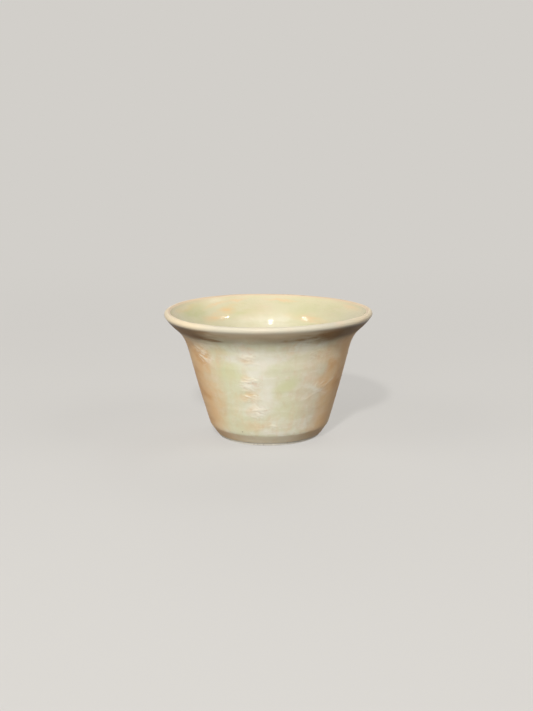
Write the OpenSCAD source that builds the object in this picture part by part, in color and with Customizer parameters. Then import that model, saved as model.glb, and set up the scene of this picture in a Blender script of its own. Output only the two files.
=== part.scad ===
// Small drinking cup for sake, thrown on a wheel and trimmed at the foot, with a flared lip.
// The clay is one piece. Three coats of glaze lie on it: one outside, one inside, and a paler
// one over the lip, where the two dips overlap. The clay stays bare below the glaze line just
// above the table, and all over the underside.
// The axis of the cup is Z, and the foot stands on Z = 0. Millimetres.

/* [Lip] */
// Diameter over the outside of the lip
rim_d = 76; // [70:0.5:84]
// Height from the table to the top of the lip
cup_h = 46.3; // [43:0.1:52]
// Thickness of the rounded lip
lip_th = 2.4; // [1.8:0.1:3.6]
// Slope of the flare where it meets the lip, in degrees from upright
flare_angle = 37; // [28:1:50]

/* [Wall] */
// Outside diameter at the throat, where the wall begins to flare
throat_d = 58.8; // [55:0.2:62]
// Height of the throat above the table
throat_h = 31.6; // [28:0.2:33]
// How far the wall below the throat swells past a straight cone
wall_swell = 0.2; // [0:0.1:1]
// Thickness of the wall at the throat, with its glaze
wall_th = 3.2; // [2.6:0.1:4.4]

/* [Foot] */
// Outside diameter of the foot where it meets the table
foot_d = 37.8; // [34:0.2:40]
// Outside diameter at the top of the trimmed bevel
bevel_d = 44; // [42:0.2:47]
// Height of the trimmed bevel
bevel_h = 4.5; // [3:0.1:7]
// Width of the ring that the cup stands on
ring_w = 4; // [3:0.1:6]
// Depth of the shallow recess under the foot
recess_h = 1.8; // [1:0.1:3]
// Thickness of the floor above the recess, with its glaze
floor_th = 5; // [3.5:0.1:6.5]
// Radius of the round where the inside wall runs into the floor
bowl_round = 9; // [5:0.5:11]
// Width of the softened edges of the foot ring
foot_edge = 0.3; // [0.2:0.1:0.8]

/* [Glaze] */
// Thickness of each coat of glaze
glaze_th = 0.4; // [0.2:0.05:0.6]
// Height of the glaze line above the table
glaze_line_h = 0.9; // [0.6:0.1:2]
// How far the lip's coat laps down the wall on each side
lip_lap = 1; // [0.4:0.1:2]

/* [Hidden] */
$fn = 180;

// Steps along each curved stretch of the outline
corner_steps = 6;
wall_steps = 10;
flare_steps = 20;
lip_steps = 16;
bowl_steps = 12;

// How far the two handles of the flare's curve reach, as shares of its straight length
throat_lead_share = 0.6;
lip_lead_share = 0.37;
// Size of the round over the bevel's top corner, as a share of the bevel's height
bevel_round_share = 0.15;

// Points are [distance from the axis, height]. A line going up has the outside on its right.
function unit(v) = v / norm(v);
function right_of(v) = [v[1], -v[0]];
function reversed(list) = [for (i = [len(list) - 1 : -1 : 0]) list[i]];
function slice(list, first, last) = [for (i = [first : last]) list[i]];
function past_first(list) = slice(list, 1, len(list) - 1);

// A smooth bend that leaves a towards b and arrives at c from b
function bend(a, b, c, steps) =
    [for (i = [0 : steps]) let (t = i / steps) (1 - t)^2 * a + 2 * t * (1 - t) * b + t^2 * c];

// A smooth run from a to d with one handle at each end
function run(a, b, c, d, steps) =
    [for (i = [0 : steps]) let (t = i / steps)
        (1 - t)^3 * a + 3 * t * (1 - t)^2 * b + 3 * t^2 * (1 - t) * c + t^3 * d];

// The line moved inwards by a thickness, square to itself
function sunk(line, depth) =
    [for (i = [0 : len(line) - 1])
        let (along = line[min(i + 1, len(line) - 1)] - line[max(i - 1, 0)])
            line[i] - depth * right_of(unit(along))];

// Foot and bevel
foot_corner = [foot_d / 2, 0];
bevel_corner = [bevel_d / 2, bevel_h];
bevel_dir = unit(bevel_corner - foot_corner);
glaze_start = foot_corner + bevel_dir * glaze_line_h / bevel_dir[1];
bevel_round = bevel_h * bevel_round_share;

// Wall, from the bevel to the throat
throat = [throat_d / 2, throat_h];
wall_middle = (bevel_corner + throat) / 2
    + 2 * wall_swell * right_of(unit(throat - bevel_corner));
wall_start_dir = unit(wall_middle - bevel_corner);
wall_end_dir = unit(throat - wall_middle);
wall_start = bevel_corner + bevel_round * wall_start_dir;

// Lip, a half round whose two ends run on into the flare
lip_r = lip_th / 2;
lip_centre = [rim_d / 2 - lip_r, cup_h - lip_r];
flare_dir = [sin(flare_angle), cos(flare_angle)];
lip_outside = lip_centre + lip_r * right_of(flare_dir);
lip_inside = lip_centre - lip_r * right_of(flare_dir);
outer_lap_end = lip_outside - lip_lap * flare_dir;
inner_lap_end = lip_inside - lip_lap * flare_dir;
outer_flare = norm(outer_lap_end - throat);

// Inside of the bowl
inner_throat = throat - wall_th * right_of(wall_end_dir);
floor_z = recess_h + floor_th;
inner_flare = norm(inner_lap_end - inner_throat);
wall_dir = unit(throat - bevel_corner);
bowl_corner = inner_throat - wall_dir * (inner_throat[1] - floor_z) / wall_dir[1];
bowl_wall_end = bowl_corner + bowl_round * wall_dir;
bowl_floor_start = bowl_corner - [bowl_round, 0];

// The glazed surface from the glaze line up the outside, over the lip and down to the floor
outside_line = concat(
    [glaze_start],
    bend(bevel_corner - bevel_round * bevel_dir, bevel_corner, wall_start, corner_steps),
    past_first(bend(wall_start, wall_middle, throat, wall_steps)),
    past_first(run(throat, throat + throat_lead_share * outer_flare * wall_end_dir,
        outer_lap_end - lip_lead_share * outer_flare * flare_dir, outer_lap_end, flare_steps)));
lip_line = [for (i = [0 : lip_steps])
    let (turn = 180 * i / lip_steps - flare_angle) lip_centre + lip_r * [cos(turn), sin(turn)]];
inside_line = concat(
    run(inner_lap_end, inner_lap_end - lip_lead_share * inner_flare * flare_dir,
        inner_throat + throat_lead_share * inner_flare * wall_end_dir, inner_throat, flare_steps),
    past_first(bend(bowl_wall_end, bowl_corner, bowl_floor_start, bowl_steps)),
    [[0, floor_z]]);
skin = concat(outside_line, lip_line, inside_line);

// The clay surface under the glaze, point for point below the glazed one
under_skin = sunk(skin, glaze_th);
lip_first = len(outside_line) - 1;
lip_last = lip_first + len(lip_line) + 1;
skin_last = len(skin) - 1;

// Below the glaze the bare foot stands steeper than the bevel. The recess has sides at 45 degrees.
clay_foot_r = foot_corner[0];
ring_inner_r = clay_foot_r - ring_w;
foot_line = [
    [0, recess_h],
    [ring_inner_r - recess_h, recess_h],
    [ring_inner_r - foot_edge, foot_edge],
    [ring_inner_r, 0],
    [clay_foot_r - foot_edge, 0],
    [clay_foot_r, foot_edge],
];

// Thrown and trimmed clay: foot ring, floor, wall and flare in one piece
module clay_body() {
    color("#cfc5a6")
        rotate_extrude()
            polygon(concat(foot_line, under_skin));
}

// One coat of glaze over a stretch of the clay
module coat(first, last) {
    rotate_extrude()
        polygon(concat(slice(skin, first, last), reversed(slice(under_skin, first, last))));
}

// Satin celadon glaze with peach flashes, from the glaze line up to the lip
module outer_glaze() {
    color("#d3ccae")
        coat(0, lip_first);
}

// Pale cream roll of glaze over the lip
module lip_glaze() {
    color("#f3ead4")
        coat(lip_first, lip_last);
}

// Glossy liner glaze, from the lip down the inside and over the floor
module inner_glaze() {
    color("#e6dfba")
        coat(lip_last, skin_last);
}

clay_body();
outer_glaze();
lip_glaze();
inner_glaze();
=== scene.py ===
import math
import random

import bpy
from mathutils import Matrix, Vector


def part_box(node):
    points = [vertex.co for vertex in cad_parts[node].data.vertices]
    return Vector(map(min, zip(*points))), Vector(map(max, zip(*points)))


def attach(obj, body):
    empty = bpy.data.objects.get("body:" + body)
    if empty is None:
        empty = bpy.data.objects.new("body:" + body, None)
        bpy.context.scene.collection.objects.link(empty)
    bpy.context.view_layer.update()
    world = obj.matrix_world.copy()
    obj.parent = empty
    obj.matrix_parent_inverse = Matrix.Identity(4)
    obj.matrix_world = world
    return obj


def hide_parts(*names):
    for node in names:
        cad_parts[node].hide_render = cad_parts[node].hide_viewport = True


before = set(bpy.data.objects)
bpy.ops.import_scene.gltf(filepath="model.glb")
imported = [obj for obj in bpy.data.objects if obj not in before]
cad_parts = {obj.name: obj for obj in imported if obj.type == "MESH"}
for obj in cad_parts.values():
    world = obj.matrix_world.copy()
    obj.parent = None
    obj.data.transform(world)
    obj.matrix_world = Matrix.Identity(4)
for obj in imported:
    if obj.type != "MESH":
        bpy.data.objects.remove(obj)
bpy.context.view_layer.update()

bl_info = {
    "name": "Sake cup",
    "version": (1, 0, 0),
    "blender": (4, 5, 0),
    "location": "3D View > Sidebar > Sake cup",
    "description": "A small wheel-thrown cup with a flared lip, in celadon, cream and peach glaze",
    "category": "Object",
}

MM = 0.001

# Distance between the points of each surface along its outline
OUTSIDE_STEP, LIP_STEP, INSIDE_STEP = 0.31 * MM, 0.24 * MM, 0.42 * MM
CLAY_STEP, CLAY_LIP_STEP = 1.2 * MM, 0.5 * MM
# Steps round the axis, more of them in the outside coat, which has the wrinkles, and steps in the
# lip's half round
TURN_STEPS, COAT_STEPS, LIP_STEPS = 400, 420, 40
# Points closer than this are merged, or count as on the axis
MERGED, ON_AXIS = 0.002 * MM, 1e-9
# Faces that meet at less than this are shaded as one
SHARP = math.radians(40)

# How far the handles of the flare's curve reach, as shares of its straight length, and the round
# over the bevel's corner as a share of the bevel's height
THROAT_LEAD, LIP_LEAD = 0.6, 0.37
BEVEL_ROUND = 0.15

# Node settings that come back often
SMOOTH = {"interpolation_type": "SMOOTHSTEP"}
RGBA = {"data_type": "RGBA"}
TIMES = {"operation": "MULTIPLY"}
TIMES_PLUS = {"operation": "MULTIPLY_ADD"}

# The cup stands on Z = 0 with its axis on Z, and its front faces -Y. Angles round the cup are
# measured from the front, positive to the right.
LIP_LOW, LIP_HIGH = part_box("lip_glaze")
OUTER_LOW, OUTER_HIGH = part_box("outer_glaze")


def length(name, default, low, high, description):
    return bpy.props.FloatProperty(name=name, description=description, default=default,
                                   min=low, max=high, unit="LENGTH")


class CupSizes(bpy.types.PropertyGroup):
    """The cup's own sizes, as in its source."""

    rim_width: length(
        "Rim width", LIP_HIGH.x - LIP_LOW.x, 0.06, 0.1, "Diameter over the outside of the lip")
    height: length("Height", LIP_HIGH.z, 0.03, 0.08, "From the table to the top of the lip")
    lip_thickness: length("Lip thickness", 0.0024, 0.001, 0.005, "Thickness of the rounded lip")
    flare_slope: bpy.props.FloatProperty(
        name="Flare slope", description="Slope of the flare where it meets the lip, from upright",
        default=math.radians(37), min=0.3, max=1.1, unit="ROTATION")
    throat_width: length(
        "Throat width", 0.0588, 0.05, 0.07, "Outside diameter where the wall begins to flare")
    throat_height: length(
        "Throat height", 0.0316, 0.02, 0.04, "Height of the throat above the table")
    wall_swell: length(
        "Wall swell", 0.0002, 0.0, 0.002, "How far the wall swells past a straight cone")
    wall_thickness: length(
        "Wall thickness", 0.0032, 0.002, 0.006, "Thickness of the wall at the throat")
    foot_width: length(
        "Foot width", 0.0378, 0.03, 0.042, "Outside diameter of the foot on the table")
    bevel_width: length(
        "Bevel width", 0.044, 0.04, 0.05, "Outside diameter at the top of the trimmed bevel")
    bevel_height: length("Bevel height", 0.0045, 0.002, 0.008, "Height of the trimmed bevel")
    ring_width: length(
        "Foot ring width", 0.004, 0.002, 0.006, "Width of the ring that the cup stands on")
    recess_depth: length(
        "Recess depth", 0.0018, 0.0005, 0.003, "Depth of the recess under the foot")
    floor_thickness: length(
        "Floor thickness", 0.005, 0.003, 0.008, "Thickness of the floor above the recess")
    bowl_round: length(
        "Bowl round", 0.009, 0.004, 0.012, "Round where the inside wall runs into the floor")
    glaze_thickness: length(
        "Glaze thickness", 0.0004, 0.0002, 0.001, "Thickness of each coat of glaze")
    glaze_line: length(
        "Glaze line", OUTER_LOW.z, 0.0005, 0.004, "Height of the glaze line above the table")
    lip_lap: length("Lip lap", 0.001, 0.0004, 0.003, "How far the lip's coat laps down the wall")
    rim_rise: length(
        "Rim rise", 0.0005, -0.002, 0.002,
        "How much higher the rim stands at the front than at the axis")
    rim_roll: length(
        "Rim roll", 0.0002, -0.002, 0.002,
        "How much higher the rim stands at the left than at the axis")
    rim_warp: length(
        "Rim warp", 0.0003, -0.002, 0.002,
        "How much higher the rim stands at its front right and back left than at the axis")
    ring_height: length(
        "Throwing rings", 0.00001, 0.0, 0.0003, "Height of the rings that the fingers left")
    lump_height: length("Glaze lumps", 0.0002, 0.0, 0.0008, "Height of the slow waves in the coats")
    wrinkle_height: length(
        "Wrinkles", 0.0001, 0.0, 0.0006, "Height of the wrinkles where the glaze crawled")


def linear(hexed):
    """An sRGB hex colour as linear light, with full alpha."""
    parts = [int(hexed[i:i + 2], 16) / 255 for i in (1, 3, 5)]
    return [p / 12.92 if p <= 0.04045 else ((p + 0.055) / 1.055) ** 2.4 for p in parts] + [1.0]


def colour_property(name, hexed, description):
    return bpy.props.FloatVectorProperty(
        name=name, description=description, subtype="COLOR", size=4, min=0, max=1,
        default=linear(hexed))


class CupColours(bpy.types.PropertyGroup):
    """The colours of the clay, of the glazes over it and of the stage."""

    celadon: colour_property("Celadon", "#d9d5b8", "Satin celadon over most of the outside")
    celadon_grey: colour_property("Thin celadon", "#d6d0b6", "Celadon where the dip ran thin")
    green: colour_property("Green pool", "#d0cfa4", "Celadon where the dip is thick")
    # Milky white is partly the glaze's own streaks and partly a painted sheen down the front and a
    # painted glow inside
    milky_and_sheen: colour_property("Milky white", "#e6e1d2", "Milky streaks, most of them down the front")
    peach: colour_property("Peach flash", "#ddb584", "Flashes of iron where the glaze is thin")
    rust: colour_property("Rust", "#c9965f", "The deepest part of the flashes")
    # Painted shade: the warm grey and both umbers darken the glaze under the lip's overhang, most
    # on both sides
    shade: colour_property("Warm grey", "#b3a083", "Thin glaze under the lip")
    painted_umber_shade: colour_property("Umber", "#8a612f", "Thin glaze on both sides under the lip")
    painted_deep_shade: colour_property("Deep umber", "#583712", "Thinnest glaze, further round")
    # Ridges are partly milky glaze and partly a painted highlight
    milky_ridge_highlight: colour_property("Ridges", "#efe6d0", "Ridges where the glaze crawled")
    # The bevel's colours are partly its glaze and partly the painted warm tint of its shade
    bevel: colour_property("Bevel", "#d3c3a8", "Glaze on the trimmed bevel")
    painted_bevel_side_shade: colour_property("Bevel sides", "#c9a478", "The same on both sides")
    speck: colour_property("Specks", "#6f6044", "Specks of iron")
    cream: colour_property("Cream lip", "#c6bea9", "Roll of glaze over the lip")
    # Paler, pinker cream on both sides is painted light
    painted_lit_cream_side: colour_property("Cream sides", "#dfceae", "The same on both sides")
    # A warmer line of painted shade along the lip's inner top edge
    lip_edge_painted_shade: colour_property("Thin cream", "#d3b99b", "The same where the lip turns inwards")
    blush: colour_property("Blush", "#d2bda3", "Warm tint in the lip's cream")
    liner: colour_property("Liner", "#cbc4a4", "Glossy glaze inside")
    liner_green: colour_property("Liner green", "#bcba8d", "Pools in the glaze inside")
    clay: colour_property("Clay", "#ece5d4", "Bare fired clay of the foot")
    grit: colour_property("Grit", "#8b775a", "Dark grit in the bare clay")
    stage: colour_property("Stage", "#d2cfca", "Floor and background")
    bounce: colour_property("Bounce", "#4a4642", "Floor, as it lights the cup")
    air: colour_property("Air", "#fff1e2", "Weak light from all round")


# The cup's outline is made of points, each (distance from the axis, height)

def right_of(v):
    return Vector((v.y, -v.x))


def bend(a, b, c, steps=40):
    """A smooth bend that leaves a towards b and arrives at c from b."""
    return [(1 - t) ** 2 * a + 2 * t * (1 - t) * b + t * t * c
            for t in (i / steps for i in range(steps + 1))]


def run(a, b, c, d, steps=60):
    """A smooth run from a to d with one handle at each end."""
    return [(1 - t) ** 3 * a + 3 * t * (1 - t) ** 2 * b + 3 * t * t * (1 - t) * c + t ** 3 * d
            for t in (i / steps for i in range(steps + 1))]


def evenly(line, step):
    """The same line with its points an even step apart."""
    lengths = [0.0]
    for a, b in zip(line, line[1:]):
        lengths.append(lengths[-1] + (b - a).length)
    count = max(2, round(lengths[-1] / step))
    points, k = [], 0
    for i in range(count + 1):
        want = lengths[-1] * i / count
        while k < len(line) - 2 and lengths[k + 1] < want:
            k += 1
        part = (want - lengths[k]) / (lengths[k + 1] - lengths[k])
        points.append(line[k].lerp(line[k + 1], min(1.0, part)))
    return points


def out_of(line, i):
    """Direction out of the clay at a point of the line."""
    along = line[min(i + 1, len(line) - 1)] - line[max(i - 1, 0)]
    return right_of(along.normalized())


def moved_out(line, height):
    """The line moved out of the clay by height(distance along it, its whole length)."""
    total = sum((b - a).length for a, b in zip(line, line[1:]))
    points, gone = [], 0.0
    for i, point in enumerate(line):
        points.append(point + height(gone, total) * out_of(line, i))
        if i < len(line) - 1:
            gone += (line[i + 1] - point).length
    return points


def outlines(sizes):
    """The glazed surface in three stretches (outside, lip, inside) and the foot's own line."""
    foot = Vector((sizes.foot_width / 2, 0))
    bevel = Vector((sizes.bevel_width / 2, sizes.bevel_height))
    bevel_way = (bevel - foot).normalized()
    start = foot + bevel_way * sizes.glaze_line / bevel_way.y
    rounding = sizes.bevel_height * BEVEL_ROUND
    throat = Vector((sizes.throat_width / 2, sizes.throat_height))
    middle = (bevel + throat) / 2 + 2 * sizes.wall_swell * right_of((throat - bevel).normalized())
    wall_start = bevel + rounding * (middle - bevel).normalized()
    wall_way = (throat - middle).normalized()

    lip_radius = sizes.lip_thickness / 2
    centre = Vector((sizes.rim_width / 2 - lip_radius, sizes.height - lip_radius))
    slope = sizes.flare_slope
    flare_way = Vector((math.sin(slope), math.cos(slope)))
    lip_out = centre + lip_radius * right_of(flare_way)
    lip_in = centre - lip_radius * right_of(flare_way)
    lap_out = lip_out - sizes.lip_lap * flare_way
    lap_in = lip_in - sizes.lip_lap * flare_way
    reach = (lap_out - throat).length

    inner_throat = throat - sizes.wall_thickness * right_of(wall_way)
    inner_reach = (lap_in - inner_throat).length
    floor = sizes.recess_depth + sizes.floor_thickness
    down = (bevel - throat).normalized()
    corner = inner_throat + down * (inner_throat.y - floor) / -down.y

    outside = ([start] + bend(bevel - rounding * bevel_way, bevel, wall_start)
               + bend(wall_start, middle, throat)[1:]
               + run(throat, throat + THROAT_LEAD * reach * wall_way,
                     lap_out - LIP_LEAD * reach * flare_way, lap_out)[1:])
    turn = [math.pi * i / LIP_STEPS - slope for i in range(LIP_STEPS + 1)]
    lip = ([lap_out] + [centre + lip_radius * Vector((math.cos(a), math.sin(a))) for a in turn]
           + [lap_in])
    inside = (run(lap_in, lap_in - LIP_LEAD * inner_reach * flare_way,
                  inner_throat + THROAT_LEAD * inner_reach * wall_way, inner_throat)
              + bend(corner - sizes.bowl_round * down, corner,
                     corner - Vector((sizes.bowl_round, 0)))
              + [Vector((0, floor))])
    return outside, lip, inside


def under(line, sizes, step):
    """The clay surface below a stretch of glaze."""
    smooth = evenly(line, step)
    sunk = moved_out(smooth, lambda gone, total: -sizes.glaze_thickness)
    if smooth[-1].x < ON_AXIS:
        sunk[-1] = Vector((0, smooth[-1].y - sizes.glaze_thickness))
    return sunk


def soft_step(x):
    x = min(1.0, max(0.0, x))
    return x * x * (3 - 2 * x)


# Each piece is made as by hand: a chain of points is extruded, spun and smoothed

def only(piece):
    """Selects one piece and makes it the active one."""
    bpy.ops.object.select_all(action="DESELECT")
    piece.select_set(True)
    bpy.context.view_layer.objects.active = piece


def point_at(name, place):
    """A new piece that is one point: a small plane merged to its middle and moved to its place."""
    bpy.ops.object.select_all(action="DESELECT")
    bpy.ops.mesh.primitive_plane_add(size=MM)
    piece = bpy.context.object
    piece.name = piece.data.name = name
    bpy.ops.object.mode_set(mode="EDIT")
    bpy.ops.mesh.select_all(action="SELECT")
    bpy.ops.mesh.merge(type="CENTER")
    bpy.ops.transform.translate(value=(place.x, 0, place.y))
    return piece


def turned(name, line, closed, steps=TURN_STEPS, skin=()):
    """Extrudes a point along the outline, joins its ends where closed says so, and spins it about
    the cup's axis into a closed shell. The first points of the line are put in a vertex group
    named skin, with the weights in skin."""
    piece = point_at(name, line[0])
    for here, there in zip(line, line[1:]):
        step = there - here
        bpy.ops.mesh.extrude_vertices_move(
            TRANSFORM_OT_translate={"value": (step.x, 0, step.y)})
    if closed:
        bpy.ops.object.mode_set(mode="OBJECT")
        for vertex in piece.data.vertices:
            vertex.select = vertex.index in (0, len(line) - 1)
        bpy.ops.object.mode_set(mode="EDIT")
        bpy.ops.mesh.edge_face_add()
    bpy.ops.object.mode_set(mode="OBJECT")
    if skin:
        group = piece.vertex_groups.new(name="skin")
        for index, weight in enumerate(skin):
            if weight > 0:
                group.add([index], weight, "REPLACE")
    bpy.ops.object.mode_set(mode="EDIT")
    bpy.ops.mesh.select_all(action="SELECT")
    bpy.ops.mesh.spin(steps=steps, angle=math.tau, center=(0, 0, 0), axis=(0, 0, 1))
    bpy.ops.mesh.select_all(action="SELECT")
    bpy.ops.mesh.remove_doubles(threshold=MERGED)
    bpy.ops.mesh.normals_make_consistent(inside=False)
    bpy.ops.object.mode_set(mode="OBJECT")
    return piece


def displaced(piece, name, strength, group, texture=None, middle=0.0):
    """Moves the surface out along its normals, as far as a vertex group and a texture say."""
    only(piece)
    relief = piece.modifiers.new(name, "DISPLACE")
    relief.texture = texture
    relief.texture_coords = "LOCAL"
    relief.strength = strength
    relief.mid_level = middle
    relief.vertex_group = group
    bpy.ops.object.modifier_apply(modifier=relief.name)


def thrown_rings(gone, total, start, end, pitch, second_pitch, second_start):
    """Height of the rings that the fingers left, as a share. They fade towards both ends."""
    waves = (math.sin(gone / pitch * math.tau)
             + 0.6 * math.sin(gone / second_pitch * math.tau + second_start))
    return waves * soft_step(gone / start) * soft_step((total - gone) / end)


def showing(count, start, end):
    """How much each point of a coat's surface shows: 1, and less towards its ends, where it
    meets the next coat. The ends are so many points long."""
    return [(soft_step(i / start) if start else 1.0)
            * (soft_step((count - 1 - i) / end) if end else 1.0) for i in range(count)]


def lumpy(piece, sizes, size, share):
    """Slow waves in a coat of glaze, by the part of it that shows."""
    waves = bpy.data.textures.new(piece.name + "_waves", "CLOUDS")
    waves.noise_scale = size
    waves.noise_depth = 1
    displaced(piece, "Lumps", sizes.lump_height * share, "skin", waves, 0.5)


def leaned(piece, sizes):
    """Leans and warps the cup as its potter left it: the rim stands higher at the front and the
    left. A lattice does it, so that every piece moves alike and the foot stays flat."""
    bpy.ops.object.select_all(action="DESELECT")
    # The cage is a fifth wider than the rim, so that nothing lies outside it
    wide, top = 1.2 * sizes.rim_width, sizes.height
    bpy.ops.object.add(type="LATTICE", location=(0, 0, top / 2))
    cage = bpy.context.object
    cage.scale = (wide, wide, top)
    for point in cage.data.points:
        if point.co.z > 0:
            x, y = (place * wide / (sizes.rim_width / 2) for place in point.co[:2])
            rise = -y * sizes.rim_rise - x * sizes.rim_roll - 2 * x * y * sizes.rim_warp
            point.co_deform.z += rise / top
    cage.data.interpolation_type_u = cage.data.interpolation_type_v = "KEY_LINEAR"
    cage.data.interpolation_type_w = "KEY_LINEAR"
    bpy.context.view_layer.update()
    only(piece)
    lean = piece.modifiers.new("Lean", "LATTICE")
    lean.object = cage
    bpy.ops.object.modifier_apply(modifier=lean.name)
    shape = cage.data
    bpy.data.objects.remove(cage)
    bpy.data.lattices.remove(shape)


def finished(piece, sizes, material, node):
    """Leans and smooths a piece, gives it its material and puts it in a CAD node's place."""
    leaned(piece, sizes)
    only(piece)
    bpy.ops.object.shade_smooth_by_angle(angle=SHARP)
    bpy.ops.object.material_slot_add()
    piece.material_slots[0].material = material
    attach(piece, "root")
    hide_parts(node)


# Materials

def feed(tree, node, inputs):
    """Sets a node's inputs. Each is a value, or the node or socket that feeds it."""
    for name, value in inputs.items():
        if isinstance(value, bpy.types.Node):
            value = next(socket for socket in value.outputs if socket.enabled)
        if isinstance(value, bpy.types.NodeSocket):
            tree.links.new(value, node.inputs[name])
        else:
            node.inputs[name].default_value = value


def add(tree, kind, inputs=None, **settings):
    """Adds a node with its settings and what feeds it."""
    new = tree.nodes.new("ShaderNode" + kind)
    for name, value in settings.items():
        setattr(new, name, value)
    feed(tree, new, inputs or {})
    return new


def blank(name):
    """A new material with nothing in it but its output and a Principled shader, and the place on
    the piece that its patterns follow."""
    material = bpy.data.materials.new(name)
    material.use_nodes = True
    tree = material.node_tree
    tree.nodes.clear()
    shader = add(tree, "BsdfPrincipled")
    add(tree, "OutputMaterial", {"Surface": shader})
    return material, tree, shader, add(tree, "TexCoord").outputs["Object"]


def patches(tree, where, scale, detail, low, high, most=1.0, distortion=0.0, least=0.0, **ramp):
    """A mask that rises from least to most where a noise rises from low to high."""
    noise = add(tree, "TexNoise",
                {"Vector": where, "Scale": scale, "Detail": detail, "Distortion": distortion})
    return add(tree, "MapRange",
               {"Value": noise, "From Min": low, "From Max": high, "To Min": least, "To Max": most},
               **ramp)


def ripples(tree, where, scale, detail, strength, height, **under):
    """Small waves of noise in a glaze's skin, on top of what is under them."""
    noise = add(tree, "TexNoise", {"Vector": where, "Scale": scale, "Detail": detail})
    return add(tree, "Bump", {"Height": noise, "Strength": strength, "Distance": height, **under})


def torn(tree, spot, size, reach, seed):
    """The place on the piece, pushed about by noise, so that clouds get ragged edges."""
    shifted = add(tree, "VectorMath", {0: spot, 1: (seed, seed, seed)})
    noise = add(tree, "TexNoise", {"Vector": shifted, "Scale": 0.5 / size, "Detail": 3.0})
    centred = add(tree, "VectorMath", {0: noise.outputs["Color"], 1: (-0.5, -0.5, -0.5)})
    pushed = add(tree, "VectorMath", {0: centred, 1: (reach, reach, reach)}, **TIMES)
    return add(tree, "VectorMath", {0: spot, 1: pushed})


def cloud(tree, where, radius, angle, height, half_width, half_height, lean):
    """A cloud on the wall: 1 in its middle and 0 outside. Its place is a distance from the axis,
    an angle from the front and a height, all in millimetres and degrees, as are its sizes."""
    turn = math.radians(angle)
    place = MM * Vector((radius * math.sin(turn), -radius * math.cos(turn), height))
    local = add(tree, "Mapping",
                {"Vector": where, "Location": place, "Rotation": (0, math.radians(lean), turn),
                 "Scale": MM * Vector((half_width, CLOUD_DEPTH, half_height))},
                vector_type="TEXTURE")
    ball = add(tree, "TexGradient", {"Vector": local}, gradient_type="SPHERICAL")
    return add(tree, "MapRange", {"Value": ball, "From Max": 0.85}, **SMOOTH)


def clouded(tree, colour, where, clouds, colours, grain=1.0):
    """Lays named clouds over a colour, one after another, as strong as the grain lets them be."""
    for shade, strength, *shape in clouds:
        amount = add(tree, "Math", {0: cloud(tree, where, *shape), 1: strength}, **TIMES)
        amount = add(tree, "Math", {0: amount, 1: grain}, **TIMES, use_clamp=True)
        colour = add(tree, "Mix", {0: amount, 6: colour, 7: getattr(colours, shade)}, **RGBA)
    return colour


def level(tree, parts, sizes):
    """Height on the cup before it was leaned."""
    reach = sizes.rim_width / 2 * sizes.height
    both = add(tree, "Math", {0: parts.outputs["X"], 1: parts.outputs["Y"]}, **TIMES)
    leaning = 1.0
    for place, rise in ((parts.outputs["Y"], sizes.rim_rise), (parts.outputs["X"], sizes.rim_roll),
                        (both, 4 * sizes.rim_warp / sizes.rim_width)):
        leaning = add(tree, "Math", {0: place, 1: -rise / reach, 2: leaning}, **TIMES_PLUS)
    return add(tree, "Math", {0: parts.outputs["Z"], 1: leaning}, operation="DIVIDE")


def around(tree, spot):
    """The parts of a place on the cup, its distance from the axis, and the sine of its angle
    from the front."""
    parts = add(tree, "SeparateXYZ", {0: spot})
    flat = add(tree, "CombineXYZ", {"X": parts.outputs["X"], "Y": parts.outputs["Y"]})
    out = add(tree, "VectorMath", {0: flat}, operation="LENGTH").outputs["Value"]
    across = add(tree, "Math", {0: parts.outputs["X"], 1: out}, operation="DIVIDE")
    return parts, out, across


def off_middle(tree, across, middle):
    """How far a place is to either side of a middle, both as sines of the angle from the front."""
    shifted = add(tree, "Math", {0: across, 1: -middle})
    return add(tree, "Math", {0: shifted}, operation="ABSOLUTE")


def to_sides(tree, across, middle, inner, outer, push=0.0):
    """A mask that rises from 0 to 1 on both sides of a middle, between two distances from it. A
    push shifts its edges."""
    apart = add(tree, "Math", {0: off_middle(tree, across, middle), 1: push})
    return add(tree, "MapRange", {"Value": apart, "From Min": inner, "From Max": outer}, **SMOOTH)


def cream_colour(tree, spot, across, colours):
    """Cream where two dips overlap, here and there with a warm blush, and on both sides painted
    paler and pinker, as painted light.
    The lip's coat and the ends of its neighbours share it, so that they run into each other."""
    warm = patches(tree, spot, 45.0, 3.0, 0.45, 0.7, **SMOOTH)
    colour = add(tree, "Mix", {0: warm, 6: colours.cream, 7: colours.blush}, **RGBA)
    # Painted light: paler and pinker towards both sides
    return add(tree, "Mix",
               {0: to_sides(tree, across, 0.08, 0.5, 0.85), 6: colour, 7: colours.painted_lit_cream_side},
               **RGBA)


def painted_lee_shade(tree, spot, across, colours):
    """Painted shade under the lip's overhang: a warm grey, with brown streaks of 1.4 by 9 mm that
    run together on both sides, where the shade is painted darker still, and the mask of the brown."""
    drawn = add(tree, "Mapping", {"Vector": spot, "Scale": (0.15, 0.15, 1.0)})
    streaks = add(tree, "TexNoise", {"Vector": drawn, "Scale": 700.0, "Detail": 3.0})
    push = add(tree, "Math", {0: streaks, 1: 1.1, 2: -0.55}, **TIMES_PLUS)
    brown = to_sides(tree, across, -0.1, 0.3, 0.72, push)
    colour = add(tree, "Mix", {0: brown, 6: colours.shade, 7: colours.painted_umber_shade}, **RGBA)
    return add(tree, "Mix",
               {0: to_sides(tree, across, 0.0, 0.56, 0.78), 6: colour, 7: colours.painted_deep_shade},
               **RGBA), brown


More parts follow.
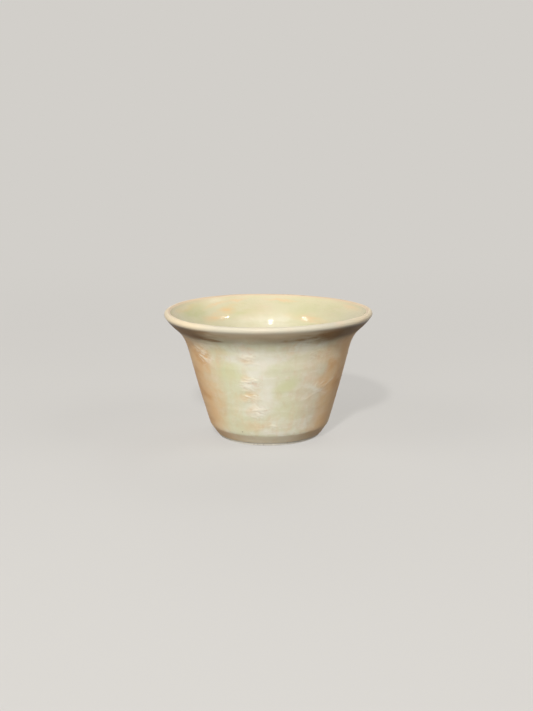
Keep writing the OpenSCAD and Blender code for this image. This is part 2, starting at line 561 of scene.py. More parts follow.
def liner_colour(tree, spot, colours):
    """The liner's cream and green, with long streaks left by the pour."""
    slow_share = patches(tree, spot, 38.0, 5.0, 0.45, 0.75, 0.6, 0.5, **SMOOTH)
    colour = add(tree, "Mix", {0: slow_share, 6: colours.liner, 7: colours.liner_green}, **RGBA)
    # The streaks are 13 mm long and 3 mm high at most
    drawn = add(tree, "Mapping", {"Vector": spot, "Scale": (0.25, 0.25, 1.0)})
    streak = patches(tree, drawn, 300.0, 4.0, 0.52, 0.75, 0.5)
    return add(tree, "Mix", {0: streak, 6: colour, 7: colours.blush}, **RGBA), drawn


# How deep a cloud reaches into the cup, in millimetres, so that it doesn't show opposite
CLOUD_DEPTH = 14

# Clouds on the outside: colour, strength, distance from the axis, angle from the front, height,
# half width, half height and lean, in millimetres and degrees
OUTER_CLOUDS = (
    # The first three, down the front, are partly milky glaze and partly a painted sheen
    ("milky_and_sheen", 0.35, 27.5, -2, 24.0, 6.0, 24.0, 0),
    ("milky_and_sheen", 0.5, 27.0, -2, 21.0, 3.0, 6.0, 0),
    ("milky_and_sheen", 0.5, 30.0, -8, 33.0, 14.0, 6.0, 0),
    ("blush", 0.4, 27.0, 36, 18.0, 14.0, 20.0, 0),
    ("blush", 0.3, 30.0, 30, 33.0, 13.0, 8.0, 0),
    ("green", 0.75, 28.9, -30, 28.4, 10.0, 5.0, 6),
    ("green", 0.4, 27.5, -34, 20.0, 12.0, 12.0, 0),
    ("green", 0.35, 25.0, -30, 9.0, 12.0, 8.0, 0),
    ("green", 0.85, 27.4, 14, 23.5, 8.0, 5.0, -22),
    ("green", 0.5, 28.6, 3, 29.5, 7.0, 3.0, 0),
    ("green", 0.3, 26.0, 14, 13.0, 10.0, 8.0, 0),
    ("green", 0.3, 30.6, -34, 37.0, 9.0, 3.5, 0),
    ("milky_and_sheen", 0.7, 27.5, -14, 24.6, 5.0, 3.6, 0),
    ("milky_and_sheen", 0.6, 25.6, -8, 14.2, 7.0, 5.0, -20),
    ("milky_and_sheen", 0.6, 30.4, -14, 36.2, 5.0, 2.6, 0),
    ("peach", 0.4, 30.2, -15, 33.8, 4.0, 2.2, 0),
    ("peach", 0.4, 26.6, -18, 19.4, 5.0, 2.4, -18),
    ("peach", 0.3, 25.6, -16, 13.4, 4.0, 2.4, -15),
    ("peach", 0.3, 28.0, -17, 26.6, 3.0, 2.0, 0),
    ("peach", 0.3, 24.0, -14, 8.0, 8.0, 2.4, -10),
    ("milky_and_sheen", 0.6, 27.5, 42, 20.4, 12.0, 1.6, 24),
    ("peach", 0.45, 28.0, 44, 24.0, 10.0, 3.6, 22),
    ("peach", 0.3, 30.4, 44, 35.0, 8.0, 6.0, 0),
    ("peach", 0.5, 30.4, -52, 34.6, 7.0, 4.6, -14),
    ("milky_and_sheen", 0.6, 30.4, -50, 35.6, 6.0, 1.4, -22),
    ("milky_and_sheen", 0.6, 30.0, -47, 31.6, 6.0, 1.0, -14),
    ("rust", 0.75, 31.0, 70, 34.0, 8.0, 9.0, 0),
)

# Where the glaze crawled into crumples, in the same order without the colour
CRUMPLES = (
    (1.0, 27.4, -14, 24.4, 5.5, 4.4, 0),
    (0.9, 26.6, -14, 18.6, 6.0, 2.6, -14),
    (1.0, 25.6, -9, 13.8, 6.5, 4.4, -14),
    (0.8, 30.4, -13, 34.4, 6.0, 3.6, 0),
    (1.0, 30.3, -50, 34.0, 7.0, 6.0, -20),
    (0.45, 30.3, 36, 34.0, 8.0, 5.0, 0),
    (0.5, 27.4, 42, 21.0, 11.0, 3.0, 24),
    (0.4, 24.4, -4, 8.0, 9.0, 3.5, 0),
)

# Clouds inside, in the same order
INNER_CLOUDS = (
    ("liner_green", 0.9, 33.0, -120, 43.0, 14.0, 5.0, 0),
    ("liner_green", 0.6, 31.0, -158, 41.0, 11.0, 4.5, 0),
    ("liner_green", 0.4, 32.0, 168, 43.5, 12.0, 1.4, 0),
    ("liner_green", 0.45, 31.0, 132, 42.0, 13.0, 4.0, 0),
    # Painted light: a pale glow on the far wall, round the sparks
    ("milky_and_sheen", 0.3, 27.6, 178, 36.0, 30.0, 4.6, 0),
    ("peach", 0.6, 30.0, -145, 40.4, 12.0, 2.4, 14),
    ("peach", 0.2, 29.6, -128, 39.4, 5.0, 2.0, 0),
    ("peach", 0.35, 28.4, 147, 38.0, 13.0, 2.2, -4),
    ("peach", 0.45, 34.0, -154, 44.2, 11.0, 0.7, 4),
    ("peach", 0.45, 34.0, 173, 43.8, 11.0, 0.6, -3),
    ("peach", 0.3, 33.0, -140, 43.4, 9.0, 0.7, 8),
    ("peach", 0.3, 35.0, -112, 44.4, 12.0, 1.6, 0),
    ("peach", 0.3, 35.0, 112, 44.4, 12.0, 1.6, 0),
)


def celadon_glaze(sizes, colours):
    """Satin celadon glaze, dipped and fired, so it is thick in pools and thin in flashes. It
    scatters softly: rough enough to blur a lamp into a wide glow, with fine waves in its skin."""
    material, tree, shader, spot = blank("satin_celadon_glaze")
    parts, _, across = around(tree, spot)
    high = level(tree, parts, sizes)

    # Slow mottling over some 40 mm, and streaks of 2 to 13 mm: milky and green ones are drawn out
    # across, warm ones down
    slow = add(tree, "TexNoise", {"Vector": spot, "Scale": 24.0, "Detail": 5.0, "Distortion": 0.6})
    slow_share = add(tree, "MapRange", {"Value": slow, "From Min": 0.35, "From Max": 0.68},
                     **SMOOTH)
    colour = add(tree, "Mix", {0: slow_share, 6: colours.celadon, 7: colours.celadon_grey}, **RGBA)
    for shade, scale, stretch, most in ((colours.milky_and_sheen, 330.0, (0.35, 0.35, 1.0), 0.6),
                                        (colours.peach, 300.0, (1.0, 1.0, 0.4), 0.3),
                                        (colours.milky_and_sheen, 620.0, (0.6, 0.6, 1.0), 0.5),
                                        (colours.rust, 520.0, (1.0, 1.0, 0.5), 0.16),
                                        (colours.green, 150.0, (0.5, 0.5, 1.0), 0.35)):
        drawn = add(tree, "Mapping",
                    {"Vector": spot, "Location": (scale * MM, 0, 0), "Scale": stretch})
        share = patches(tree, drawn, scale, 5.0, 0.5, 0.68, most, 0.4)
        colour = add(tree, "Mix", {0: share, 6: colour, 7: shade}, **RGBA)

    # Round the back, pools of green fall where the noise puts them
    ragged = add(tree, "TexNoise",
                 {"Vector": spot, "Scale": 75.0, "Detail": 6.0, "Distortion": 0.5})
    behind = add(tree, "Math", {0: ragged, 1: 50 * MM, 2: parts.outputs["Y"]}, **TIMES_PLUS)
    behind = add(tree, "MapRange", {"Value": behind, "From Min": 24 * MM, "From Max": 40 * MM},
                 **SMOOTH)
    pool_share = patches(tree, spot, 34.0, 5.0, 0.5, 0.66, 0.7, 0.4, **SMOOTH)
    pool_share = add(tree, "Math", {0: pool_share, 1: behind}, **TIMES)
    colour = add(tree, "Mix", {0: pool_share, 6: colour, 7: colours.green}, **RGBA)

    # Under the lip the shade of its overhang is painted in as a warm grey, browner on both sides
    lap = outlines(sizes)[1][0].y
    painted_lip_shade, brown = painted_lee_shade(tree, spot, across, colours)
    # Mask of the painted shade under the lip, ragged and reaching lower where the brown streaks run
    thin = add(tree, "Math", {0: ragged, 1: 3 * MM, 2: high}, **TIMES_PLUS)
    thin = add(tree, "Math", {0: brown, 1: 1.6 * MM, 2: thin}, **TIMES_PLUS)
    thin = add(tree, "MapRange",
               {"Value": thin, "From Min": lap - 3 * MM, "From Max": lap + 0.5 * MM, "To Max": 0.9},
               **SMOOTH)
    colour = add(tree, "Mix", {0: thin, 6: colour, 7: painted_lip_shade}, **RGBA)

    where = torn(tree, spot, 3.5 * MM, 6 * MM, 0.3)
    colour = clouded(tree, colour, where, OUTER_CLOUDS, colours)

    # Flashes of peach down both sides, partly the glaze's own and partly painted warm shade where
    # the wall turns away, and where the noise puts them round the back
    edge = add(tree, "Math", {0: ragged, 1: 0.55, 2: off_middle(tree, across, 0.02)}, **TIMES_PLUS)
    side = add(tree, "MapRange",
               {"Value": edge, "From Min": 0.86, "From Max": 1.22, "To Max": 0.95}, **SMOOTH)
    front = add(tree, "MapRange", {"Value": behind, "To Min": 1.0, "To Max": 0.0})
    below = add(tree, "MapRange", {"Value": thin, "From Max": 0.9, "To Min": 1.0, "To Max": 0.2})
    for mask in (front, below):
        side = add(tree, "Math", {0: side, 1: mask}, **TIMES)
    flash = patches(tree, spot, 26.0, 6.0, 0.46, 0.64, 0.85, 0.7, **SMOOTH)
    flash = add(tree, "Math", {0: flash, 1: behind}, **TIMES)
    peach_share = add(tree, "Math", {0: side, 1: flash}, operation="MAXIMUM")
    colour = add(tree, "Mix", {0: peach_share, 6: colour, 7: colours.peach}, **RGBA)
    # Their deepest parts follow the last of the streaks above
    deep_share = patches(tree, drawn, 160.0, 6.0, 0.44, 0.68, 0.75, **SMOOTH)
    deep_share = add(tree, "Math", {0: deep_share, 1: peach_share}, **TIMES)
    colour = add(tree, "Mix", {0: deep_share, 6: colour, 7: colours.rust}, **RGBA)

    # Where the glaze crawled, ridges 0.9 mm apart are milky, partly a painted highlight, and the
    # folds between them brown, partly painted shade
    crumpled = 0.0
    for strength, *shape in CRUMPLES:
        crumpled = add(tree, "Math", {0: cloud(tree, where, *shape), 1: strength, 2: crumpled},
                       **TIMES_PLUS)
    crumpled = add(tree, "Math", {0: crumpled, 1: 1.0}, operation="MINIMUM")
    folded = add(tree, "Mapping",
                 {"Vector": spot, "Rotation": (0, 0.35, 0), "Scale": (0.4, 0.4, 1.0)})
    folds = add(tree, "TexNoise",
                {"Vector": folded, "Scale": 1100.0, "Detail": 3.0, "Distortion": 1.2})
    for low, top, most, shade in ((0.52, 0.66, 0.55, colours.milky_ridge_highlight),
                                  (0.46, 0.34, 0.35, colours.rust)):
        share = add(tree, "MapRange",
                    {"Value": folds, "From Min": low, "From Max": top, "To Max": most})
        share = add(tree, "Math", {0: share, 1: crumpled}, **TIMES)
        colour = add(tree, "Mix", {0: share, 6: colour, 7: shade}, **RGBA)
    # The raised wrinkles are painted lighter, partly a painted highlight on their crests
    wrinkled = add(tree, "Attribute", attribute_name="wrinkle_milk_highlight").outputs["Fac"]
    colour = add(tree, "Mix", {0: wrinkled, 6: colour, 7: colours.milky_ridge_highlight}, **RGBA)

    # Faint lines 2.6 mm apart: painted shade of the rings that the potter's fingers left
    drawn_round = add(tree, "Mapping", {"Vector": spot, "Scale": (0.05, 0.05, 1.0)})
    ring_shade = patches(tree, drawn_round, 380.0, 2.0, 0.3, 0.7, 1.01, least=0.985)
    colour = add(tree, "Mix", {0: 1.0, 6: colour, 7: ring_shade}, **RGBA, blend_type="MULTIPLY")

    # On the trimmed bevel the warm tint of its shade is painted in, warmest on both sides
    bevel = add(tree, "Mix",
                {0: to_sides(tree, across, 0.0, 0.15, 0.7), 6: colours.bevel,
                 7: colours.painted_bevel_side_shade}, **RGBA)
    trimmed = add(tree, "MapRange",
                  {"Value": high, "From Min": sizes.bevel_height,
                   "From Max": sizes.bevel_height - 0.6 * MM, "To Max": 0.6}, **SMOOTH)
    colour = add(tree, "Mix", {0: trimmed, 6: colour, 7: bevel}, **RGBA)

    # Towards the lip the celadon runs into the cream roll, mixed four fifths with painted shade
    cream = add(tree, "Mix", {0: 0.8, 6: cream_colour(tree, spot, across, colours), 7: painted_lip_shade}, **RGBA)
    near_lip = add(tree, "MapRange",
                   {"Value": high, "From Min": lap - 0.8 * MM, "From Max": lap - 0.05 * MM},
                   **SMOOTH)
    colour = add(tree, "Mix", {0: near_lip, 6: colour, 7: cream}, **RGBA)

    # Iron specks, half a millimetre across and about 10 mm apart
    specks = add(tree, "TexVoronoi", {"Vector": spot, "Scale": 210.0})
    speck = add(tree, "MapRange",
                {"Value": specks.outputs["Distance"], "From Min": 0.035, "From Max": 0.07,
                 "To Min": 0.5, "To Max": 0.0})
    chance = add(tree, "SeparateColor", {0: specks.outputs["Color"]})
    rare = add(tree, "Math", {0: chance.outputs[0], 1: 0.8}, operation="GREATER_THAN")
    speck = add(tree, "Math", {0: speck, 1: rare}, **TIMES)
    colour = add(tree, "Mix", {0: speck, 6: colour, 7: colours.speck}, **RGBA)

    rough = add(tree, "MapRange",
                {"Value": slow, "From Min": 0.3, "From Max": 0.7, "To Min": 0.42, "To Max": 0.52})
    rough_at_lip = add(tree, "Mix", {0: near_lip, 2: rough, 3: 0.34})
    # Under the lip, where its shade is painted, the glaze shines less
    shine = add(tree, "MapRange", {"Value": thin, "From Max": 0.9, "To Min": 0.22, "To Max": 0.06})
    skin = ripples(tree, spot, 900.0, 3.0, 0.25, 0.05 * MM)
    skin = ripples(tree, spot, 230.0, 2.0, 0.3, 0.12 * MM, Normal=skin)
    relief = add(tree, "Math", {0: folds, 1: crumpled}, **TIMES)
    skin = add(tree, "Bump",
               {"Height": relief, "Strength": 0.8, "Distance": 0.2 * MM, "Normal": skin})
    feed(tree, shader,
         {"Base Color": colour, "Roughness": rough_at_lip, "Normal": skin,
          "Specular IOR Level": shine, "IOR": 1.45})
    return material


def cream_glaze(sizes, colours):
    """Glossy cream glaze, a roll where two dips lie over each other on the lip. It is thick and
    runs smooth, so it shines more than the celadon."""
    material, tree, shader, spot = blank("glossy_cream_glaze")
    parts, out, across = around(tree, spot)
    cream = cream_colour(tree, spot, across, colours)
    # Where the lip turns inwards a warmer line of painted shade runs along its top, and then
    # the liner shows through
    middle = (sizes.rim_width - sizes.lip_thickness) / 2
    warm = add(tree, "MapRange",
               {"Value": out, "From Min": middle + 0.2 * MM, "From Max": middle - 0.4 * MM,
                "To Max": 0.8}, **SMOOTH)
    colour = add(tree, "Mix", {0: warm, 6: cream, 7: colours.lip_edge_painted_shade}, **RGBA)
    inner = add(tree, "MapRange",
                {"Value": out, "From Min": middle - 0.6 * MM, "From Max": middle - 1.3 * MM,
                 "To Max": 0.85}, **SMOOTH)
    colour = add(tree, "Mix", {0: inner, 6: colour, 7: liner_colour(tree, spot, colours)[0]},
                 **RGBA)
    # Down the outside the roll's lower part takes the painted shade under the lip
    lap = outlines(sizes)[1][0].y
    low = add(tree, "MapRange",
              {"Value": level(tree, parts, sizes), "From Min": lap + 1.1 * MM, "From Max": lap,
               "To Max": 0.8}, **SMOOTH)
    outer = add(tree, "Math", {0: out, 1: middle}, operation="GREATER_THAN")
    low = add(tree, "Math", {0: low, 1: outer}, **TIMES)
    colour = add(tree, "Mix", {0: low, 6: colour, 7: painted_lee_shade(tree, spot, across, colours)[0]},
                 **RGBA)
    rough = add(tree, "MapRange",
                {"Value": inner, "From Max": 0.85, "To Min": 0.34, "To Max": 0.22})
    shine = add(tree, "MapRange", {"Value": low, "From Max": 0.8, "To Min": 0.22, "To Max": 0.06})
    skin = ripples(tree, spot, 230.0, 2.0, 0.25, 0.1 * MM)
    feed(tree, shader,
         {"Base Color": colour, "Roughness": rough, "Normal": skin, "Specular IOR Level": shine,
          "IOR": 1.5})
    return material


def liner_glaze(sizes, colours):
    """Glossy liner glaze, poured in and out again. It is clear and thick, so it mirrors lamps as
    sharp sparks, and pools greener where it ran together."""
    material, tree, shader, spot = blank("glossy_liner_glaze")
    parts, _, across = around(tree, spot)
    high = level(tree, parts, sizes)
    colour, drawn = liner_colour(tree, spot, colours)
    where = torn(tree, spot, 3 * MM, 3 * MM, 0.7)
    grain = patches(tree, drawn, 420.0, 4.0, 0.36, 0.6, 1.3, least=0.3)
    colour = clouded(tree, colour, where, INNER_CLOUDS, colours, grain)

    # The glaze that ran down stands deepest over the floor
    floor = sizes.recess_depth + sizes.floor_thickness
    pool = add(tree, "MapRange",
               {"Value": high, "From Min": floor + 12 * MM, "From Max": floor, "To Max": 0.75},
               **SMOOTH)
    colour = add(tree, "Mix", {0: pool, 6: colour, 7: colours.liner_green}, **RGBA)

    # Pinker just below the lip, where the cream thins out
    cream = cream_colour(tree, spot, across, colours)
    lap = outlines(sizes)[1][-1].y
    near_lip = add(tree, "MapRange",
                   {"Value": high, "From Min": lap - 4 * MM, "From Max": lap, "To Max": 0.3},
                   **SMOOTH)
    colour = add(tree, "Mix", {0: near_lip, 6: colour, 7: cream}, **RGBA)
    rough = add(tree, "MapRange",
                {"Value": near_lip, "From Max": 0.3, "To Min": 0.08, "To Max": 0.2})
    mirror = add(tree, "MapRange",
                 {"Value": near_lip, "From Max": 0.3, "To Min": 0.5, "To Max": 0.22})
    skin = ripples(tree, drawn, 160.0, 2.0, 0.3, 0.1 * MM)
    # Pits 1 mm apart, which break a lamp's image into sparks
    skin = ripples(tree, spot, 900.0, 1.0, 0.8, 0.1 * MM, Normal=skin)
    feed(tree, shader,
         {"Base Color": colour, "Roughness": rough, "Normal": skin, "Specular IOR Level": mirror,
          "IOR": 1.5})
    return material


def fired_clay(colours):
    """Bare pale stoneware, fired and left unglazed: dry, matte and gritty, with iron specks."""
    material, tree, shader, spot = blank("bare_fired_clay")
    shade = patches(tree, spot, 90.0, 4.0, 0.35, 0.7, 1.04, least=0.86)
    colour = add(tree, "Mix", {0: 1.0, 6: colours.clay, 7: shade}, **RGBA, blend_type="MULTIPLY")
    # Grains of grit, 0.4 to 0.8 mm
    grit = add(tree, "TexNoise", {"Vector": spot, "Scale": 1250.0, "Detail": 2.0})
    dark = add(tree, "MapRange", {"Value": grit, "From Min": 0.62, "From Max": 0.75, "To Max": 0.4})
    colour = add(tree, "Mix", {0: dark, 6: colour, 7: colours.grit}, **RGBA)
    skin = add(tree, "Bump", {"Height": grit, "Strength": 0.6, "Distance": 0.1 * MM})
    feed(tree, shader, {"Base Color": colour, "Roughness": 0.85, "Normal": skin})
    return material


# Pieces

# Creases where the glaze crawled: angle from the front, height, length, slope, half width and
# strength, in millimetres and degrees
CREASES = (
    (-14.5, 34.8, 3.8, 4, 0.4, 0.8), (-12.0, 32.4, 5.5, 0, 0.3, 0.7),
    (-13.0, 19.4, 6.0, -22, 0.3, 0.7), (-14.5, 26.2, 3.0, 28, 0.3, 0.8),
    (-55.0, 36.4, 3.2, -24, 0.4, 0.9), (-51.5, 32.6, 4.6, -22, 0.4, 1.0),
    (36.0, 19.4, 8.0, 22, 0.26, 0.6), (50.0, 22.6, 8.0, 30, 0.26, 0.8),
    (33.0, 21.2, 5.0, 26, 0.26, 0.4), (27.0, 18.0, 4.0, 12, 0.3, 0.4),
)
# Patches of finer ones: angle, height, spread to each side in degrees and in millimetres, mean
# slope, how many
CREASED = (
    (-14.5, 24.3, 4.5, 2.4, -20, 15), (-12.5, 19.0, 5.5, 1.2, -16, 7),
    (-9.5, 14.0, 5.0, 2.2, -8, 14), (-14.0, 34.2, 5.0, 1.6, 0, 7),
    (-52.0, 34.2, 5.5, 3.4, -22, 16), (35.0, 34.5, 9.0, 3.0, 6, 7),
    (-4.0, 8.0, 9.0, 1.6, 0, 6), (44.0, 22.0, 7.0, 1.6, 26, 7),
)
# How far a crease bows and where it ends and how soon it fades there, in half lengths, and how
# far to its side it reaches, in half widths
CREASE_BOW, CREASE_END, CREASE_FADE, CREASE_REACH = 0.12, 1.3, 0.6, 3


def crawled(piece, sizes):
    """Raises the wrinkles and keeps where they are for the glaze's colour, which paints them
    lighter, partly as a highlight.
    """
    mesh = piece.data
    group = piece.vertex_groups.new(name="wrinkles")
    kept = mesh.attributes.new("wrinkle_milk_highlight", "FLOAT", "POINT")
    shown = piece.vertex_groups["skin"].index
    creases, chance, marks = list(CREASES), random.Random(5), []
    for angle, height, spread, rise, slope, count in CREASED:
        for _ in range(count):
            creases.append((angle + spread * chance.uniform(-1, 1),
                            height + rise * chance.uniform(-1, 1), chance.uniform(1.4, 3.6),
                            slope + chance.uniform(-28, 28), chance.uniform(0.17, 0.28),
                            chance.uniform(0.35, 0.9)))
    for angle, height, long, slope, half_width, strength in creases:
        turn = math.radians(slope)
        marks.append((math.radians(angle), height * MM, long / 2 * MM, math.cos(turn),
                      math.sin(turn), half_width * MM, strength))
    for vertex in mesh.vertices:
        x, y, z = vertex.co
        # Only the front of the coat crawled, where it shows
        if y > -8 * MM or not any(g.group == shown and g.weight > 0.5 for g in vertex.groups):
            continue
        out, angle, total = math.hypot(x, y), math.atan2(x, -y), 0.0
        for place, height, half, along_x, along_z, half_width, strength in marks:
            across, up = (angle - place) * out, z - height
            along = across * along_x + up * along_z
            off = up * along_x - across * along_z + CREASE_BOW * along * along / half
            if abs(along) < CREASE_END * half and abs(off) < CREASE_REACH * half_width:
                ends = soft_step((CREASE_END * half - abs(along)) / (CREASE_FADE * half))
                total += strength * ends * math.exp(-(off / half_width) ** 2)
        if total > 0.01:
            group.add([vertex.index], min(1.0, total), "REPLACE")
            kept.data[vertex.index].value = min(1.0, 0.5 * total)
    displaced(piece, "Wrinkles", sizes.wrinkle_height, "wrinkles")


class CUP_OT_throw_clay(bpy.types.Operator):
    """Turn the clay body: foot ring, recess, floor, wall and flare"""

    bl_idname = "sake_cup.throw_clay"
    bl_label = "Throw the clay"
    bl_options = {"REGISTER", "UNDO"}

    def execute(self, context):
        sizes, colours = context.scene.cup_sizes, context.scene.cup_colours
        outside, lip, inside = outlines(sizes)
        foot = Vector((sizes.foot_width / 2, 0))
        ring = foot.x - sizes.ring_width
        soft, recess = 0.3 * MM, sizes.recess_depth
        # Under the foot the trimming tool left rings
        pitch, deep, steps = 1.3 * MM, 0.05 * MM, 36
        radii = [(ring - recess - soft) * i / steps for i in range(steps + 1)]
        trimmed = [Vector((r, recess + deep * math.sin(r / pitch * math.tau))) for r in radii]
        corner = Vector((ring - recess, recess))
        line = (trimmed[:-1]
                + bend(trimmed[-1], corner, corner + Vector((soft, -soft)), 4)
                + bend(Vector((ring - soft, soft)), Vector((ring, 0)),
                       Vector((ring + soft, 0)), 4)
                + bend(foot - Vector((soft, 0)), foot, foot + Vector((0, soft)), 4)
                + under(outside, sizes, CLAY_STEP)
                + under(lip, sizes, CLAY_LIP_STEP)[1:]
                + under(inside, sizes, CLAY_STEP)[1:])
        piece = turned("thrown_clay", line, False)
        finished(piece, sizes, fired_clay(colours), "clay_body")
        return {"FINISHED"}


class CUP_OT_glaze_outside(bpy.types.Operator):
    """Coat the outside from the glaze line up to the lip"""

    bl_idname = "sake_cup.glaze_outside"
    bl_label = "Glaze the outside"
    bl_options = {"REGISTER", "UNDO"}

    def execute(self, context):
        sizes, colours = context.scene.cup_sizes, context.scene.cup_colours
        outside = outlines(sizes)[0]
        beneath = under(outside, sizes, CLAY_STEP)
        way = (outside[1] - outside[0]).normalized()
        smooth = evenly([outside[0] + 0.5 * MM * way] + outside[1:], OUTSIDE_STEP)

        def relief(gone, total):
            rings = thrown_rings(gone, total, 3 * MM, 8 * MM, 4.2 * MM, 2.7 * MM, 1)
            # The glaze gathers in a low roll along its lower edge
            roll = 0.04 * MM * math.exp(-(gone / (0.8 * MM)) ** 2)
            return sizes.ring_height * rings + roll

        skin = moved_out(smooth, relief)
        edge = bend(beneath[0], outside[0] + 0.1 * MM * right_of(way), skin[0], 5)[:-1]
        line = edge + skin + beneath[:0:-1]
        weights = [0] * len(edge) + showing(len(skin), 8, 6)
        piece = turned("celadon_coat", line, True, COAT_STEPS, weights)
        lumpy(piece, sizes, 9 * MM, 1.0)
        crawled(piece, sizes)
        finished(piece, sizes, celadon_glaze(sizes, colours), "outer_glaze")
        return {"FINISHED"}


class CUP_OT_glaze_lip(bpy.types.Operator):
    """Lay the roll of cream glaze over the lip"""

    bl_idname = "sake_cup.glaze_lip"
    bl_label = "Glaze the lip"
    bl_options = {"REGISTER", "UNDO"}

    def execute(self, context):
        sizes, colours = context.scene.cup_sizes, context.scene.cup_colours
        lip = outlines(sizes)[1]
        skin = evenly(lip, LIP_STEP)
        line = skin + under(lip, sizes, CLAY_LIP_STEP)[::-1]
        piece = turned("cream_lip_roll", line, True, skin=showing(len(skin), 5, 5))
        lumpy(piece, sizes, 12 * MM, 0.8)
        finished(piece, sizes, cream_glaze(sizes, colours), "lip_glaze")
        return {"FINISHED"}


class CUP_OT_glaze_inside(bpy.types.Operator):
    """Coat the inside from the lip down over the floor"""

    bl_idname = "sake_cup.glaze_inside"
    bl_label = "Glaze the inside"
    bl_options = {"REGISTER", "UNDO"}

    def execute(self, context):
        sizes, colours = context.scene.cup_sizes, context.scene.cup_colours
        inside = outlines(sizes)[2]
        skin = moved_out(evenly(inside, INSIDE_STEP), lambda gone, total: sizes.ring_height
                         * thrown_rings(gone, total, 4 * MM, 4 * MM, 4.8 * MM, 2.9 * MM, 2))
        skin[-1] = inside[-1]
        line = skin[::-1] + under(inside, sizes, CLAY_STEP)
        piece = turned("liner_coat", line, False, skin=showing(len(skin), 0, 8))
        lumpy(piece, sizes, 10 * MM, 1.0)
        finished(piece, sizes, liner_glaze(sizes, colours), "inner_glaze")
        return {"FINISHED"}


# Stage

def seen_directly(tree):
    """1 for the rays that show a surface itself or its mirror image, and 0 for those that light
    other surfaces."""
    ray = add(tree, "LightPath")
    seen = add(tree, "Math", {0: ray.outputs["Is Camera Ray"], 1: ray.outputs["Is Glossy Ray"]},
               operation="MAXIMUM")
    return add(tree, "Math", {0: seen, 1: ray.outputs["Is Transmission Ray"]}, operation="MAXIMUM")


def lamp(name, place, target, watts, size):
    """A round soft lamp that looks at a target."""
    bpy.ops.object.light_add(type="AREA", location=place)
    light = bpy.context.object
    light.name = light.data.name = name
    light.rotation_euler = (Vector(target) - Vector(place)).to_track_quat("-Z", "Y").to_euler()
    light.data.shape = "DISK"
    light.data.size = size
    light.data.energy = watts
    return light


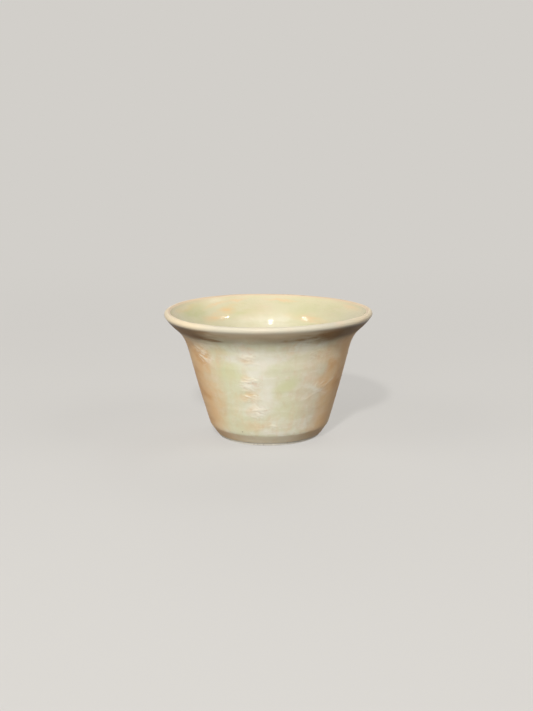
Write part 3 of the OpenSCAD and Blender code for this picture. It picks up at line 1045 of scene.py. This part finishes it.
class CUP_OT_set_stage(bpy.types.Operator):
    """Set the floor, background, lamps and camera"""

    bl_idname = "sake_cup.set_stage"
    bl_label = "Set the stage"
    bl_options = {"REGISTER", "UNDO"}

    def execute(self, context):
        colours = context.scene.cup_colours
        pale = colours.stage

        bpy.ops.object.select_all(action="DESELECT")
        bpy.ops.mesh.primitive_circle_add(vertices=96, radius=2.5, fill_type="NGON")
        floor = context.object
        floor.name = floor.data.name = "floor"
        material, tree, shader, spot = blank("pale_floor")
        seen = seen_directly(tree)
        # The floor is darker where it lights the cup, so that the foot isn't lit from below
        colour = add(tree, "Mix", {0: seen, 6: colours.bounce, 7: pale}, **RGBA)
        feed(tree, shader, {"Base Color": colour, "Roughness": 0.9, "Specular IOR Level": 0.0})
        # Far off the floor takes the background's colour, so that no horizon shows
        away = add(tree, "VectorMath", {0: spot}, operation="LENGTH").outputs["Value"]
        far = add(tree, "MapRange",
                  {"Value": away, "From Min": 0.1, "From Max": 0.5, "To Min": 0.7}, **SMOOTH)
        far = add(tree, "Math", {0: far, 1: seen}, **TIMES)
        glow = add(tree, "Emission", {"Color": pale, "Strength": 1.0})
        both = add(tree, "MixShader", {0: far, 1: shader, 2: glow})
        feed(tree, tree.get_output_node("ALL"), {"Surface": both})
        bpy.ops.object.material_slot_add()
        floor.material_slots[0].material = material

        world = bpy.data.worlds.new("studio")
        context.scene.world = world
        world.use_nodes = True
        tree = world.node_tree
        tree.nodes.clear()
        dim = add(tree, "Background", {"Color": colours.air, "Strength": 0.04})
        behind = add(tree, "Background", {"Color": pale, "Strength": 1.0})
        both = add(tree, "MixShader", {0: seen_directly(tree), 1: dim, 2: behind})
        add(tree, "OutputWorld", {"Surface": both})

        # A high key, whose shadow of the lip falls on the wall, a broad low fill, weak lamps from
        # both sides, and two from behind. The glossy liner mirrors four small lamps instead
        for name, place, watts, size in (("key", (-0.114, -0.697, 0.576), 5.45, 0.07),
                                         ("fill", (-0.2, -0.857, 0.212), 5.0, 0.6),
                                         ("left", (-0.7, -0.19, 0.57), 2.3, 0.5),
                                         ("right", (0.7, -0.19, 0.57), 2.6, 0.5),
                                         ("back", (0.35, 0.7, 0.8), 1.8, 0.4),
                                         ("low_back", (-0.08, 0.88, 0.2), 3.6, 0.6)):
            lamp(name, place, (0, 0, 0.025), watts, size).visible_glossy = False
        for name, place, watts, size in (("spark_1", (-0.06, -0.53, 0.455), 2.0, 0.02),
                                         ("spark_2", (0.449, 0.051, 0.561), 0.25, 0.006),
                                         ("spark_3", (0.269, -0.343, 0.564), 0.8, 0.006),
                                         ("spark_4", (-0.42, -0.126, 0.568), 0.6, 0.006)):
            lamp(name, place, (0, 0, 0.035), watts, size).visible_diffuse = False

        # Placed, pitched and rolled so that the cup's edges fall where the photograph has them
        bpy.ops.object.camera_add(location=(-0.84 * MM, -416.6 * MM, 122.1 * MM))
        camera = context.object
        camera.name = camera.data.name = "camera"
        camera.rotation_mode = "ZYX"
        camera.rotation_euler = (math.pi / 2 - 0.22, 0, -0.0104)
        camera.data.lens = 58.53
        camera.data.sensor_width = 36
        camera.data.clip_start = 0.01
        context.scene.camera = camera
        context.scene.view_settings.view_transform = "Standard"
        return {"FINISHED"}


class CUP_PT_sidebar(bpy.types.Panel):
    """Lists the steps and the sizes and colours they use"""

    bl_idname = "CUP_PT_sidebar"
    bl_label = "Sake cup"
    bl_space_type = "VIEW_3D"
    bl_region_type = "UI"
    bl_category = "Sake cup"

    def draw(self, context):
        for step in STEPS:
            self.layout.operator("sake_cup." + step)
        for group in (context.scene.cup_sizes, context.scene.cup_colours):
            box = self.layout.box()
            for name in group.__annotations__:
                box.prop(group, name)


STEPS = ("throw_clay", "glaze_outside", "glaze_lip", "glaze_inside", "set_stage")
CLASSES = (CupSizes, CupColours, CUP_OT_throw_clay, CUP_OT_glaze_outside, CUP_OT_glaze_lip,
           CUP_OT_glaze_inside, CUP_OT_set_stage, CUP_PT_sidebar)


def register():
    for cls in CLASSES:
        bpy.utils.register_class(cls)
    bpy.types.Scene.cup_sizes = bpy.props.PointerProperty(type=CupSizes)
    bpy.types.Scene.cup_colours = bpy.props.PointerProperty(type=CupColours)


def unregister():
    del bpy.types.Scene.cup_colours
    del bpy.types.Scene.cup_sizes
    for cls in reversed(CLASSES):
        bpy.utils.unregister_class(cls)


def main():
    register()
    for step in STEPS:
        getattr(bpy.ops.sake_cup, step)()


if __name__ == "__main__":
    main()
